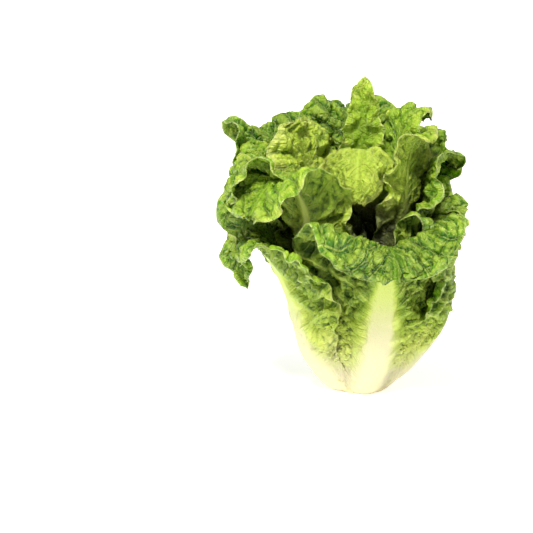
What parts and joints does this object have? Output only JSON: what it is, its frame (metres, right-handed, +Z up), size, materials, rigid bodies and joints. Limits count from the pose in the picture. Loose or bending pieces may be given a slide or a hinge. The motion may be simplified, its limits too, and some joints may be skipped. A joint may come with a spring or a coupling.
{
  "type": "little gem lettuce",
  "caption": "Small upright lettuce head: separate ribbed leaves folding over at the top round a short stem, standing on its flat cut base.",
  "frame": {"origin": "middle of the flat cut face at the foot of the stem, on the surface that the head stands on", "axes": "+Z up along the head, -Y towards the front, where the broad front leaf folds over, +X to the right seen from the front"},
  "size_m": [0.1232, 0.1387, 0.155],
  "materials": {
    "stem": "satin",
    "outer_leaf": "satin",
    "heart_leaf": "satin"
  },
  "bodies": {
    "root": {"stem": "stem", "leaf_left_outer": "outer_leaf", "leaf_front_outer": "outer_leaf", "leaf_right_outer": "outer_leaf", "leaf_back_outer": "outer_leaf", "leaf_left_drooping": "outer_leaf", "leaf_right_back": "outer_leaf", "leaf_left_back": "outer_leaf", "leaf_front_left": "outer_leaf", "leaf_front_right": "outer_leaf", "leaf_back_left_tall": "outer_leaf", "leaf_left_inner": "outer_leaf", "leaf_right_inner": "outer_leaf", "leaf_yellow_roll": "heart_leaf", "leaf_back_inner": "heart_leaf", "leaf_right_folded": "heart_leaf", "leaf_top_curl": "heart_leaf", "leaf_bubble": "heart_leaf", "leaf_top_tip": "heart_leaf", "leaf_heart_left": "heart_leaf", "leaf_heart_back": "heart_leaf", "leaf_heart_front": "heart_leaf"}
  },
  "joints": []
}
